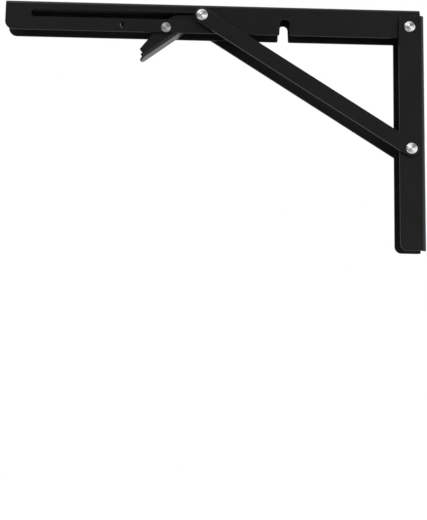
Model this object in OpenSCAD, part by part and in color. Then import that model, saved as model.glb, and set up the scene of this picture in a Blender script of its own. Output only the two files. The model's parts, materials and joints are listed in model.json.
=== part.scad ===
// Folding shelf bracket with a sliding brace and a release lever.
// The wall lies at x = 0 and the arm points along -X with its shelf face up.
// The origin is the middle screw hole on the leg's back face.

/* [Sheet] */
// Thickness of the leg's and arm's sheet
sheet_t = 2; // [1.5:0.1:2.5]
// Inner radius of the leg's and arm's bends
bend_r = 0.6; // [0.4:0.1:1]
// Gap between sheets that slide past each other
layer_gap = 0.4; // [0.3:0.1:0.8]

/* [Leg] */
// Length of the leg along the wall
leg_len = 171; // [160:1:220]
// Depth of the leg, from the wall to its free edges
leg_depth = 18.4; // [17:0.1:22]
// Radius of the leg's upper free corners
leg_top_r = 3.5; // [2:0.5:5]
// Radius of the leg's lower free corners
leg_foot_r = 5; // [3:0.5:7]
// Radius of the corner between the leg's top and the wall
leg_back_r = 1.5; // [1:0.5:2.5]

/* [Arm] */
// Length of the arm
arm_len = 300; // [295:1:340]
// Width of the arm over its walls
arm_w = 20; // [18:0.5:26]
// Height of the arm
arm_h = 21.5; // [21:0.1:22]
// Radius of the lower corners at the arm's tip
arm_tip_r = 5; // [3:0.5:7]

/* [Pivots] */
// Distance of the arm's pivot from the wall
pivot_from_wall = 10.5; // [10.5:0.1:11.5]
// Distance of the arm's pivot below the leg's top
pivot_below_leg_top = 8.4; // [7:0.1:10]
// Distance of the arm's pivot below the shelf face
pivot_below_shelf = 13.5; // [13:0.1:13.8]
// Distance from the arm's pivot down to the brace's foot
foot_drop = 90.3; // [85:0.1:95]
// Clearance of a part that turns past a sheet
turn_gap = 0.3; // [0.2:0.1:0.5]
// Radial clearance of a rivet in its holes
rivet_play = 0.05; // [0.03:0.01:0.1]

/* [Brace] */
// Hole distance of the brace bars
brace_len = 177.6; // [170:0.1:185]
// Width of the brace bars
brace_w = 11.2; // [10:0.1:13]
// Thickness of the brace bars
brace_t = 2.4; // [2:0.1:3]

/* [Slot] */
// Height of the slot's centre line above the arm's pivot
slot_rise = 4.2; // [4:0.1:4.5]
// Diameter of the slide pin
slide_pin_d = 5; // [4.6:0.1:5.2]
// Radial clearance of the slide pin in the slot
slide_play = 0.1; // [0.08:0.01:0.15]
// Free slot beyond the folded pin
slot_spare = 3; // [0.5:0.1:4]
// Outer diameter of the slide washers
slide_washer_d = 8.6; // [7.5:0.1:9]
// Clearance at each face of the washers and sleeves
washer_gap = 0.15; // [0.1:0.05:0.2]

/* [Notch] */
// Width of the notch at its round top
notch_w = 6.9; // [6.6:0.1:8]
// Width of the notch at the arm's free edge
notch_mouth_w = 7.8; // [7:0.1:9]
// Height of the notch's top above the arm's pivot line
notch_rise = 4.3; // [4:0.1:5.5]
// Radius of the corners at the notch's mouth
notch_mouth_r = 1; // [0.5:0.1:1.5]

/* [Lever] */
// Distance from the open slide pin to the lever's pivot, along the arm
lever_from_pin = 25.8; // [24:0.1:28]
// Distance of the lever's pivot below the arm's pivot line
lever_drop = 4.3; // [4:0.1:4.6]
// Angle of the lever's back below the arm, at rest
lever_angle = 36.6; // [32:0.1:40]
// Thickness of the lever's sheet
lever_t = 1.5; // [1.2:0.1:1.8]
// Distance from the lever's pivot to the outer face of its back
lever_back = 8; // [7.6:0.1:8.4]
// Distance from the lever's pivot line to the highest point of its plates
lever_edge = 5.2; // [4.8:0.1:5.5]
// Distance along the lever from its pivot to that point, towards the catch
lever_peak = 0.8; // [0:0.1:2]
// Length of the handle, from the lever's pivot to the end of its plates
handle_len = 24.4; // [20:0.1:28]
// Drop of the handle's upper edge at its end
handle_taper = 6.8; // [5:0.1:7.5]
// Length of the finger tongue beyond the plates
tongue_len = 3.7; // [2:0.1:5]
// Angle of the catch's upper edge from the arm, at rest
catch_slope = 31; // [27:0.5:35]
// Height of the catch's top above the slot's centre line
catch_rise = 1.8; // [1:0.1:1.8]
// Clearance between the catch and the slide pin
catch_gap = 0.3; // [0.2:0.1:0.5]

/* [Spring] */
// Wire diameter of the return spring
wire_d = 0.9; // [0.7:0.1:1]
// Whole turns in the spring's coil
coil_turns = 4; // [2:1:5]
// Width of the opening for the spring's hook, in the arm's left wall
hook_slot_w = 2.6; // [2.2:0.1:3]
// Height of the opening for the spring's hook
hook_slot_h = 4.4; // [4.2:0.1:4.6]
// Distance from the lever's pivot to the hook's opening, along the arm
spring_reach = 31.8; // [30:0.1:36]
// Height of the opening's middle above the lever's pivot
spring_rise = 1; // [0.8:0.1:1.2]
// Thickness of the lug above the hook
lug_t = 1.2; // [1:0.1:1.4]
// Angle of the lug from the arm's wall
lug_angle = 35; // [30:1:40]

/* [Rivets] */
// Shank diameter of the arm's pivot rivet
arm_rivet_d = 5; // [4.6:0.1:5.4]
// Head diameter of the arm's pivot rivet
arm_rivet_head_d = 8; // [7.4:0.1:9]
// Shank diameter of the foot rivet
foot_rivet_d = 4.5; // [4:0.1:4.6]
// Head diameter of the foot and slide rivets
brace_rivet_head_d = 8.2; // [7.6:0.1:9]
// Shank diameter of the lever's rivet
lever_rivet_d = 4; // [3.6:0.1:4.2]
// Head diameter of the lever's rivet
lever_rivet_head_d = 7.3; // [6.8:0.1:7.4]
// Height of the rivet heads
rivet_head_h = 1.2; // [1:0.1:1.4]
// Outer diameter of the sleeves on the arm's pivot rivet
arm_sleeve_d = 8; // [7:0.1:9]
// Outer diameter of the sleeves on the foot and lever rivets
small_sleeve_d = 6; // [5.8:0.1:6.2]

/* [Screw holes] */
// Diameter of the screw holes
screw_hole_d = 5.2; // [4:0.1:6]
// Number of screw holes in the leg
wall_holes = 3; // [2:1:4]
// Distance between the leg's screw holes
wall_hole_pitch = 55; // [40:1:60]
// Number of screw holes in the arm
shelf_holes = 3; // [2:1:3]
// Distance between the arm's screw holes
shelf_hole_pitch = 100; // [80:1:105]
// Distance from the arm's pivot to its first screw hole
shelf_hole_start = 32; // [28:1:40]

/* [Hidden] */
$fn = 96;
cut = 1;                                  // how far a cutter runs past a face
reach = 400;                              // longer than any part

black = [0.13, 0.13, 0.13];
steel = [0.72, 0.72, 0.73];

// Layers from the middle outwards
arm_y = arm_w / 2;
leg_in_y = arm_y + layer_gap;
leg_y = leg_in_y + sheet_t;
brace_in_y = leg_y + layer_gap;
brace_y = brace_in_y + brace_t;
lever_y = arm_y - sheet_t - turn_gap;
lever_in_y = lever_y - lever_t;

// Arm's pivot in the bracket's frame
pivot_x = -pivot_from_wall;
pivot_z = leg_len / 2 - pivot_below_leg_top;
arm_back = pivot_from_wall - sheet_t - turn_gap;   // arm behind its pivot
arm_reach = arm_len - arm_back;                    // arm in front of its pivot
arm_low = pivot_below_shelf - arm_h;               // arm's free edge below its pivot

// Slide pin, measured along the arm from its pivot
slide_open = sqrt(pow(brace_len, 2) - pow(foot_drop + slot_rise, 2));
slide_folded = foot_drop + sqrt(pow(brace_len, 2) - pow(slot_rise, 2));
slot_w = slide_pin_d + 2 * slide_play;
slide_pin_end = brace_in_y - washer_gap;

// Lever, measured from its pivot
lever_reach = slide_open + lever_from_pin;         // from the arm's pivot
pin_rise = slot_rise + lever_drop;
catch_r = norm([lever_from_pin, pin_rise]) - slide_pin_d / 2 - catch_gap;
catch_top = pin_rise + catch_rise;
pin_bottom = pin_rise - slide_pin_d / 2;
lever_bend_r = lever_t * 2 / 3;
// Upper end of the lever's back, which stays under the pin's path
back_end = (pin_bottom - turn_gap + (lever_back - lever_t) * cos(lever_angle)) / sin(lever_angle);
// Upper edge of its plates at the handle's end and past the catch
handle_end_edge = lever_edge - handle_taper;
catch_end_edge = lever_edge - (catch_r - lever_peak) * tan(lever_angle - catch_slope);

// Room that the folded lever's catch needs in the leg's web
catch_room_w = 2 * (lever_y + 2 * turn_gap);
catch_room_top = pivot_z - lever_reach + catch_r + 2 * turn_gap;
catch_room_r = 2;

// Rivet heads
head_root = rivet_head_h / 4;             // how far the shank runs into its head
head_crown = rivet_head_h / 8;            // rise of the head's middle

// Height of the slide pin's kerfs above its centre line
kerf_gap = 0.2;                           // above the catch
kerf_rise = catch_rise + kerf_gap;

// Return spring's centre line, measured from the lever's pivot
coil_gap = 0.15;                          // between two turns
rest_gap = 0.05;                          // between the second leg and the lever
rest_len = 15;                            // how far the second leg runs down the lever
coil_steps_per_turn = 18;
wire_sides = 8;
coil_r = small_sleeve_d / 2 + turn_gap + wire_d / 2;
coil_pitch = wire_d + coil_gap;
coil_y = -lever_in_y + washer_gap + wire_d / 2;
hook_gap = 0.1;                           // between the hook and the opening's lower end
hook_slot_low = spring_rise - hook_slot_h / 2;
hook_slot_top = spring_rise + hook_slot_h / 2;
hook_x = -spring_reach;
hook_z = hook_slot_low + wire_d / 2 + hook_gap;
hook_start = 180 + atan2(-hook_z, -hook_x) - acos(coil_r / norm([hook_x, hook_z]));
coil_turn = hook_start - (lever_angle - 90) + 360 * coil_turns;
rest_back = lever_back - lever_t - wire_d / 2 - rest_gap;

// Lug above the hook, pressed inwards out of the wall
lug_gap = 0.4;                            // between the hook and the lug
lug_side_gap = 0.1;                       // between the lug and the opening's sides
lug_start = sheet_t * 0.3;                // from the wall's outer face to the lug's, at its root
lug_root = 0.5;                           // how far the lug runs into the wall above it
lug_low = hook_z + wire_d / 2 + lug_gap;

// An upright plate between two Y values, drawn as its side view in X and Z
module plate(y_low, y_high) {
    translate([0, y_high, 0])
        rotate([90, 0, 0])
            linear_extrude(y_high - y_low)
                children();
}

// Moves a side view or solid from the arm's pivot to its place
module at_pivot() {
    translate([pivot_x, 0, pivot_z]) children();
}

// A round bar across the bracket at (x, z) between two Y values
module cross_bar(x, z, d, y_low, y_high) {
    translate([x, y_low, z])
        rotate([-90, 0, 0])
            cylinder(h = y_high - y_low, d = d);
}

// Waste outside a rounded corner at the origin that faces +X and +Y
module corner_waste(r) {
    difference() {
        translate([-r, -r]) square(r + cut);
        translate([-r, -r]) circle(r);
    }
}

// Filled channel section: u across, v from the web's outer face inwards
module rounded_trough(w, depth, r) {
    translate([-w / 2, r]) square([w, depth - r]);
    translate([-w / 2 + r, 0]) square([w - 2 * r, r + cut]);
    for (side = [-1, 1])
        translate([side * (w / 2 - r), r]) circle(r);
}

// Section of a folded sheet channel
module channel_section(w, depth, t, r_in) {
    difference() {
        rounded_trough(w, depth, r_in + t);
        translate([0, t]) rounded_trough(w - 2 * t, depth, r_in);
    }
}

// Rivet head that grows along +Z: a crowned face inside a rounded edge
module rivet_head(d) {
    shoulder = rivet_head_h - head_crown;
    rim = shoulder / 3;
    edge_r = shoulder * 3 / 2;
    face_r = d / 2 - sqrt(pow(edge_r, 2) - pow(edge_r - shoulder + rim, 2));
    crown_r = (pow(face_r, 2) + pow(head_crown, 2)) / (2 * head_crown);
    rotate_extrude()
        intersection() {
            square([d / 2, shoulder]);
            union() {
                square([face_r, shoulder]);
                translate([face_r, shoulder - edge_r]) circle(edge_r);
            }
        }
    intersection() {
        cylinder(h = rivet_head_h, r = face_r);
        translate([0, 0, rivet_head_h - crown_r]) sphere(crown_r);
    }
}

// Long rivet across the bracket with a head beyond each outer face
module long_rivet(x, z, d, head_d, face_y) {
    cross_bar(x, z, d, -face_y - head_root, face_y + head_root);
    for (side = [0, 1])
        mirror([0, side, 0])
            translate([x, face_y, z])
                rotate([-90, 0, 0])
                    rivet_head(head_d);
}

// Tube on a rivet, clear of the walls at its ends
module sleeve(x, z, d, bore, half_len) {
    difference() {
        cross_bar(x, z, d, -half_len, half_len);
        cross_bar(x, z, bore, -half_len - cut, half_len + cut);
    }
}

module wall_leg() {
    color(black)
        difference() {
            translate([0, 0, -leg_len / 2])
                linear_extrude(leg_len)
                    rotate(90)
                        channel_section(2 * leg_y, leg_depth, sheet_t, bend_r);
            // Rounded corners
            plate(-reach, reach) {
                translate([0, leg_len / 2]) corner_waste(leg_back_r);
                translate([-leg_depth, leg_len / 2]) mirror([1, 0]) corner_waste(leg_top_r);
                translate([-leg_depth, -leg_len / 2]) rotate(180) corner_waste(leg_foot_r);
            }
            // Rivet holes
            at_pivot() {
                cross_bar(0, 0, arm_rivet_d + 2 * rivet_play, -reach, reach);
                cross_bar(0, -foot_drop, foot_rivet_d + 2 * rivet_play, -reach, reach);
            }
            // Screw holes
            for (i = [0 : wall_holes - 1])
                translate([-sheet_t - cut, 0, (i - (wall_holes - 1) / 2) * wall_hole_pitch])
                    rotate([0, 90, 0])
                        cylinder(h = sheet_t + 2 * cut, d = screw_hole_d);
            // Cut-out for the folded lever's catch
            translate([cut, 0, 0])
                rotate([0, -90, 0])
                    linear_extrude(sheet_t + 2 * cut)
                        catch_room();
        }
}

// Cut-out seen from the back: Z to the right and Y up
module catch_room() {
    bottom = -leg_len / 2 - cut;
    side_r = catch_room_w / 2 - catch_room_r;
    translate([bottom, -catch_room_w / 2])
        square([catch_room_top - catch_room_r - bottom, catch_room_w]);
    translate([bottom, -side_r])
        square([catch_room_top - bottom, 2 * side_r]);
    for (side = [-1, 1])
        translate([catch_room_top - catch_room_r, side * side_r]) circle(catch_room_r);
}

// Side view of the slot in the arm's walls
module slot_outline() {
    slot_end = slide_folded + slot_spare;
    translate([-slot_end, slot_rise - slot_w / 2])
        square([slot_end - slide_open, slot_w]);
    for (s = [slide_open, slot_end])
        translate([-s, slot_rise]) circle(d = slot_w);
}

// Side view of the notch that takes the foot rivet
module notch_outline() {
    top_z = notch_rise - notch_w / 2;
    translate([-foot_drop, top_z]) circle(d = notch_w);
    polygon([
        [-foot_drop - notch_w / 2, top_z],
        [-foot_drop + notch_w / 2, top_z],
        [-foot_drop + notch_mouth_w / 2, arm_low + notch_mouth_r],
        [-foot_drop + notch_mouth_w / 2, arm_low - cut],
        [-foot_drop - notch_mouth_w / 2, arm_low - cut],
        [-foot_drop - notch_mouth_w / 2, arm_low + notch_mouth_r],
    ]);
    for (side = [0, 1])
        translate([-foot_drop, arm_low])
            mirror([side, 0])
                translate([notch_mouth_w / 2, 0])
                    rotate(180)
                        corner_waste(notch_mouth_r);
}

// Side view of the opening for the spring's hook, with a round lower end
module hook_slot_outline() {
    low_r = hook_slot_w / 2;
    translate([-low_r, hook_slot_low + low_r]) square([hook_slot_w, hook_slot_h - low_r]);
    translate([0, hook_slot_low + low_r]) circle(low_r);
}

// The lug's profile: across the arm from its left face, and up from the lever's pivot
module hook_lug() {
    lean = tan(lug_angle);
    depth = lug_t / cos(lug_angle);
    tip = lug_start + (hook_slot_top - lug_low) * lean;
    root = lug_start - lug_root * lean;
    half_w = hook_slot_w / 2 - lug_side_gap;
    translate([-half_w, -arm_y, 0])
        rotate([90, 0, 90])
            linear_extrude(2 * half_w)
                polygon([
                    [tip, lug_low],
                    [tip + depth, lug_low],
                    [root + depth, hook_slot_top + lug_root],
                    [root, hook_slot_top + lug_root],
                ]);
}

module shelf_arm() {
    color(black)
        at_pivot() {
            arm_channel();
            translate([hook_x - lever_reach, 0, -lever_drop]) hook_lug();
        }
}

// The arm without its lug, from its pivot
module arm_channel() {
    difference() {
        translate([-arm_reach, 0, pivot_below_shelf])
            rotate([0, 90, 0])
                linear_extrude(arm_len)
                    rotate(-90)
                        channel_section(arm_w, arm_h, sheet_t, bend_r);
        plate(-reach, reach) {
            translate([-arm_reach, arm_low]) rotate(180) corner_waste(arm_tip_r);
            // The back corner turns inside the leg
            difference() {
                translate([0, arm_low - cut]) square([arm_back + cut, cut - arm_low]);
                circle(arm_back);
            }
            slot_outline();
            notch_outline();
        }
        plate(-reach, 0)
            translate([hook_x - lever_reach, -lever_drop]) hook_slot_outline();
        cross_bar(0, 0, arm_rivet_d + 2 * rivet_play, -reach, reach);
        cross_bar(-lever_reach, -lever_drop, lever_rivet_d + 2 * rivet_play, -reach, reach);
        for (i = [0 : shelf_holes - 1])
            translate([-shelf_hole_start - i * shelf_hole_pitch, 0, pivot_below_shelf - sheet_t - cut])
                cylinder(h = sheet_t + 2 * cut, d = screw_hole_d);
    }
}

module arm_pivot_rivet() {
    color(steel)
        at_pivot() long_rivet(0, 0, arm_rivet_d, arm_rivet_head_d, leg_y);
}

module arm_pivot_sleeve() {
    color(steel)
        at_pivot()
            sleeve(0, 0, arm_sleeve_d, arm_rivet_d + 2 * rivet_play, arm_y - sheet_t - washer_gap);
}

module foot_rivet() {
    color(steel)
        at_pivot() long_rivet(0, -foot_drop, foot_rivet_d, brace_rivet_head_d, brace_y + washer_gap);
}

module foot_sleeve() {
    color(steel)
        at_pivot()
            sleeve(0, -foot_drop, small_sleeve_d, foot_rivet_d + 2 * rivet_play, leg_in_y - washer_gap);
}

module lever_rivet() {
    color(steel)
        at_pivot() long_rivet(-lever_reach, -lever_drop, lever_rivet_d, lever_rivet_head_d, arm_y);
}

module lever_sleeve() {
    color(steel)
        at_pivot()
            sleeve(-lever_reach, -lever_drop, small_sleeve_d,
                   lever_rivet_d + 2 * rivet_play, lever_in_y - washer_gap);
}

// Moves the lever's own frame, with X along its back, to its pivot
module at_lever() {
    at_pivot()
        translate([-lever_reach, 0, -lever_drop])
            children();
}

// Side view of the lever's plates, level with the arm
module lever_plate_outline() {
    intersection() {
        rotate(lever_angle)
            polygon([
                [-handle_len, -lever_back],
                [catch_r, -lever_back],
                [catch_r, catch_end_edge],
                [lever_peak, lever_edge],
                [-handle_len, handle_end_edge],
            ]);
        // Catch face on a circle about the pivot, and its flat top
        union() {
            translate([0, catch_top - reach]) intersection() {
                square([reach, reach]);
                translate([0, reach - catch_top]) circle(catch_r);
            }
            translate([-reach, catch_top - 2 * reach]) square([reach, 2 * reach]);
        }
    }
}

module release_lever() {
    color(black)
        at_lever() difference() {
            union() {
                // Plates and back, folded from one sheet
                intersection() {
                    rotate([0, -lever_angle, 0])
                        translate([-handle_len, 0, -lever_back])
                            rotate([0, 90, 0])
                                linear_extrude(handle_len + catch_r)
                                    rotate(90)
                                        channel_section(2 * lever_y, lever_back + lever_edge,
                                                        lever_t, lever_bend_r);
                    plate(-lever_y, lever_y) lever_plate_outline();
                }
                finger_tongue();
            }
            // The back stops under the pin's path, between the plates
            rotate([0, -lever_angle, 0])
                translate([back_end, -lever_in_y, -lever_back - cut])
                    cube([reach, 2 * lever_in_y, lever_t + 2 * cut]);
            cross_bar(0, 0, lever_rivet_d + 2 * rivet_play, -reach, reach);
        }
}

// Rounded end of the lever's back
module finger_tongue() {
    arc_r = (pow(lever_y, 2) + pow(tongue_len, 2)) / (2 * tongue_len);
    rotate([0, -lever_angle, 0])
        translate([-handle_len - tongue_len, 0, -lever_back])
            linear_extrude(lever_t)
                intersection() {
                    translate([arc_r, 0]) circle(arc_r);
                    translate([0, -lever_y]) square([tongue_len + lever_t, 2 * lever_y]);
                }
}

module slide_pin() {
    color(steel)
        at_pivot() difference() {
            cross_bar(-slide_open, slot_rise, slide_pin_d, -slide_pin_end, slide_pin_end);
            // Kerfs that clear the catch plates along the whole slide
            for (side = [0, 1])
                mirror([0, side, 0])
                    plate(lever_in_y - turn_gap, lever_y + turn_gap)
                        translate([-slide_open - slide_pin_d, slot_rise + kerf_rise - slide_pin_d])
                            square([2 * slide_pin_d, slide_pin_d]);
        }
}

module slide_washer(side) {
    color(steel)
        at_pivot()
            mirror([0, side, 0])
                difference() {
                    cross_bar(-slide_open, slot_rise, slide_washer_d, arm_y + washer_gap, slide_pin_end);
                    cross_bar(-slide_open, slot_rise, slide_pin_d + 2 * rivet_play, 0, reach);
                }
}

module slide_washer_left() {
    slide_washer(1);
}

module slide_washer_right() {
    slide_washer(0);
}

// Flat brace bar between two Y values
module brace_bar(side) {
    rise = asin((foot_drop + slot_rise) / brace_len);
    color(black)
        at_pivot()
            mirror([0, side, 0])
                plate(brace_in_y, brace_y)
                    translate([0, -foot_drop])
                        rotate(180 - rise)
                            difference() {
                                union() {
                                    circle(d = brace_w);
                                    translate([0, -brace_w / 2]) square([brace_len, brace_w]);
                                    translate([brace_len, 0]) circle(d = brace_w);
                                }
                                circle(d = foot_rivet_d + 2 * rivet_play);
                                translate([brace_len, 0]) circle(d = slide_pin_d + 2 * rivet_play);
                            }
}

module brace_left() {
    brace_bar(1);
}

module brace_right() {
    brace_bar(0);
}

// Riveted end that holds a brace bar over the slide pin
module brace_rivet(side) {
    color(steel)
        at_pivot()
            mirror([0, side, 0]) {
                cross_bar(-slide_open, slot_rise, slide_pin_d, brace_in_y, brace_y + head_root);
                translate([-slide_open, brace_y, slot_rise])
                    rotate([-90, 0, 0])
                        rivet_head(brace_rivet_head_d);
            }
}

module brace_rivet_left() {
    brace_rivet(1);
}

module brace_rivet_right() {
    brace_rivet(0);
}

// Points along the return spring: hook, coil and second leg
function spring_path() =
    let (coil_steps = coil_steps_per_turn * coil_turns)
    concat(
        [
            [hook_x, -arm_y + sheet_t / 4, hook_z],
            [hook_x, -arm_y + sheet_t + wire_d / 2, hook_z],
            [hook_x + wire_d / 3, coil_y - wire_d / 3, hook_z],
            [hook_x + wire_d, coil_y, hook_z],
        ],
        [
            for (i = [0 : coil_steps])
                let (turned = coil_turn * i / coil_steps, a = hook_start - turned)
                [coil_r * cos(a), coil_y + coil_pitch * turned / 360, coil_r * sin(a)]
        ],
        [
            [-rest_len * cos(lever_angle) + rest_back * sin(lever_angle),
             coil_y + coil_pitch * coil_turn / 360,
             -rest_len * sin(lever_angle) - rest_back * cos(lever_angle)]
        ]
    );

// Direction of a path at point i, halfway between its two neighbours' directions
function unit(v) = v / norm(v);
function step_dir(path, i) = unit(path[i + 1] - path[i]);
function path_dir(path, i) =
    i == 0 ? step_dir(path, 0) :
    i == len(path) - 1 ? step_dir(path, i - 1) :
    unit(step_dir(path, i - 1) + step_dir(path, i));

// Sideways directions along a path that don't twist
function across(t, n) = unit(n - t * (n * t));
function frames(path, i = 0, n = [0.1, 0, 1]) =
    i == len(path) ? [] :
    let (m = across(path_dir(path, i), n))
    concat([m], frames(path, i + 1, m));

// Tube along a path, with each ring set square to it
module wire(path, d) {
    normals = frames(path);
    points = [
        for (i = [0 : len(path) - 1])
            let (n = normals[i], b = cross(path_dir(path, i), n))
            for (k = [0 : wire_sides - 1])
                let (a = 360 * k / wire_sides)
                path[i] + d / 2 * (cos(a) * n + sin(a) * b)
    ];
    last = (len(path) - 1) * wire_sides;
    faces = concat(
        [[for (k = [0 : wire_sides - 1]) k]],
        [
            for (i = [0 : len(path) - 2])
                for (k = [0 : wire_sides - 1])
                    let (a = i * wire_sides + k, b = i * wire_sides + (k + 1) % wire_sides)
                    each [[a, b + wire_sides, b], [a, a + wire_sides, b + wire_sides]]
        ],
        [[for (k = [0 : wire_sides - 1]) last + wire_sides - 1 - k]]
    );
    polyhedron(points, faces);
}

module return_spring() {
    color(steel)
        at_lever() wire(spring_path(), wire_d);
}

wall_leg();
arm_pivot_rivet();
foot_rivet();
foot_sleeve();
shelf_arm();
arm_pivot_sleeve();
lever_rivet();
lever_sleeve();
release_lever();
return_spring();
slide_pin();
slide_washer_left();
slide_washer_right();
brace_left();
brace_right();
brace_rivet_left();
brace_rivet_right();
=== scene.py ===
import json
import math

import bmesh
import bpy
from mathutils import Matrix, Vector


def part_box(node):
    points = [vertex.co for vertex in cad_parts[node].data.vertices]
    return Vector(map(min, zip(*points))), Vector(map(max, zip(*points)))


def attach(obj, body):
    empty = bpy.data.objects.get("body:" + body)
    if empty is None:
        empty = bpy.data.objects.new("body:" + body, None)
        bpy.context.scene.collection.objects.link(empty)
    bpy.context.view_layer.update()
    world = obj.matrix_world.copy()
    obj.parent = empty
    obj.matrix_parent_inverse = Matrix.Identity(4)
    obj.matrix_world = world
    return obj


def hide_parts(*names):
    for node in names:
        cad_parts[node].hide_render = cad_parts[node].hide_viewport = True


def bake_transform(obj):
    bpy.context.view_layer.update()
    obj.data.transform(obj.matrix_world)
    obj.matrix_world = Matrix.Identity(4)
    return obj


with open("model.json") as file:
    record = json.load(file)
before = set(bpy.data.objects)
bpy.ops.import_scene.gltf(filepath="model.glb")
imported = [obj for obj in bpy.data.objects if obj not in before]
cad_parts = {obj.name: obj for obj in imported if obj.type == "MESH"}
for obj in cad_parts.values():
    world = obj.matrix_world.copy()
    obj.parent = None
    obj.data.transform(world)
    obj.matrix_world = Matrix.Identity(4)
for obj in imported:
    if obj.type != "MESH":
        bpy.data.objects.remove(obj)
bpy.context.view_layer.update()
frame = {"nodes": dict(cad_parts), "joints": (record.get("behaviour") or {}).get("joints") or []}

# Folding shelf bracket: folded sheets, bars, rivets and a spring, in a plain studio.
# Sizes are in metres, and the places of its pivots and pieces are read from the frame.

MM = 0.001
joints = {joint["name"]: joint for joint in frame["joints"]}
arm_pivot = Vector(joints["arm_fold"]["pos_m"])
foot_pivot = Vector(joints["brace_turn"]["pos_m"])
lever_pivot = Vector(joints["lever_press"]["pos_m"])
leg_low, leg_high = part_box("wall_leg")
arm_low, arm_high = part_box("shelf_arm")
lever_low, lever_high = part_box("release_lever")
washer_low, washer_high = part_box("slide_washer_left")
bar_low, bar_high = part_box("brace_right")
slide_at = Vector(((washer_low.x + washer_high.x) / 2, 0, (washer_low.z + washer_high.z) / 2))

# Folded sheet
SHEET = 2.0 * MM
BEND_R = 0.6 * MM
LEVER_SHEET = 1.5 * MM
LEVER_BEND_R = 1.0 * MM
BEND_STEPS = 8
EDGE_STEPS = 3
ARC_STEP = math.radians(9)
SAME_PLACE = 1e-6             # points nearer than this are one
ON_LINE = 1e-8                # points nearer than this to a bend's line lie on it

# Cut edges: rounding, and how dull they are, from 0 for the coat's gloss to 1; a dull edge is also
# darker, and that darkness is painted shade, strongest in the holes
# holes' edges take the full dullness and the full painted shade
HOLE_CUT = (0.12 * MM, 1.0)
ARM_CUT = (0.5 * MM, 0.65)
LEG_CUT = (0.4 * MM, 0.65)
LEVER_CUT = (0.3 * MM, 0.5)
BAR_CUT = (0.7 * MM, 0.4)

# Outlines
LEG_TOP_R = 3.5 * MM
LEG_FOOT_R = 5.0 * MM
CATCH_ROOM_W = 16.6 * MM
CATCH_ROOM_R = 2.0 * MM
CATCH_ROOM_GAP = 0.6 * MM     # above the folded lever's catch
ARM_TIP_R = 6.0 * MM
SLOT_W = 5.2 * MM
SLOT_SPARE = 3.0 * MM
NOTCH_W = 6.9 * MM
NOTCH_MOUTH_W = 7.8 * MM
NOTCH_RISE = 4.3 * MM
NOTCH_MOUTH_R = 1.0 * MM
NOTCH_SIDE = 5.0 * MM         # straight edge beside the mouth
BAR_W = 11.2 * MM
SCREW_R = 2.6 * MM
LEG_SCREW_PITCH = 55 * MM
ARM_SCREWS = 3
ARM_SCREW_PITCH = 100 * MM
ARM_SCREW_START = 32 * MM     # from the arm's pivot

# Release lever, measured from its pivot
LEVER_ANGLE = math.radians(36.6)
LEVER_BACK = 8.0 * MM
LEVER_RISE = 5.2 * MM         # to the plates' upper edge
LEVER_PEAK = 0.8 * MM         # along the lever, where its plates are highest
HANDLE_LEN = 24.4 * MM
HANDLE_TAPER = 6.8 * MM
CATCH_SLOPE = math.radians(31)
TONGUE_LEN = 3.7 * MM
CATCH_RISE = 1.8 * MM
CATCH_GAP = 2.8 * MM          # slide pin's radius and its clearance
BACK_END = 15.4 * MM
BACK_CUT = LEVER_SHEET * 0.6  # depth at which the back's sheet ends under the catch

# Rivets: shank radius, head radius
ARM_RIVET = (2.5 * MM, 4.0 * MM)
FOOT_RIVET = (2.25 * MM, 4.1 * MM)
SLIDE_RIVET = (2.5 * MM, 4.1 * MM)
LEVER_RIVET = (2.0 * MM, 3.65 * MM)
HEAD_H = 1.2 * MM
SHOULDER = 7 / 8              # share of the head's height where its crowned face starts
RIM = 1 / 3                   # share of the shoulder that is straight
ROUND = 1.5                   # radius above the rim, in shoulders
ROUND_START = math.asin(5 / 9)
ROUND_STEPS = 9
CROWN_STEPS = 8
HEAD_SIDES = 72
SHANK_SIDES = 48
SHARP = math.radians(40)      # edges that turn more than this stay sharp
RING_PITCH = 0.3 * MM         # rings that the riveting tool leaves in the heads
RING_DEPTH = 0.02 * MM
RING_WANDER = 0.3             # in rings

# Return spring
WIRE_D = 0.9 * MM
COIL_TURNS = 4
COIL_R = 3.75 * MM
COIL_PITCH = 1.05 * MM
COIL_GAP = 0.15 * MM          # between the coil and the lever's plate
COIL_STEPS = 30               # points in a turn
WIRE_SIDES = 16
HOOK_REACH = 31.8 * MM
HOOK_RISE = -0.65 * MM
HOOK_END = SHEET / 16         # from the wall's outer face
HOOK_SLOT_W = 2.6 * MM
HOOK_SLOT_LOW = -1.2 * MM     # from the lever's pivot
HOOK_SLOT_TOP = 3.2 * MM
LUG_T = 1.2 * MM
LUG_ANGLE = math.radians(35)
LUG_LOW = 0.2 * MM
LUG_START = 0.6 * MM          # from the wall's outer face
LUG_ROOT = 0.5 * MM
LUG_SIDE_GAP = 0.1 * MM
REST_LEN = 15 * MM
REST_BACK = 6.0 * MM

# Photograph's frame and camera
FRAME_W = 427
FRAME_H = 520
FOCAL_PX = 1114.13
CENTRE_PX = (226.52, 182.69)  # where the camera's axis meets the picture
SENSOR = 36.0
CAMERA_AT = (-0.16293, -0.78618, -0.16551)
CAMERA_TURN = (99.201, -0.937, -1.76)

# Finishes: noise scales are to the metre, greys and shares go from 0 to 1
PEEL_SCALE = 1100             # orange peel of the powder coat
PEEL_DEPTH = 0.06 * MM
PEEL_BUMP = 0.25
CLOUD_SCALE = 38
SPECK_SCALE = 1500
SPECK_NOISE = (0.76, 0.82)    # where a speck starts and where it is full
SPECK_SHARE = 0.35
SPECK_GREY = 0.09
COAT_GREYS = (0.0058, 0.0096)
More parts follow.
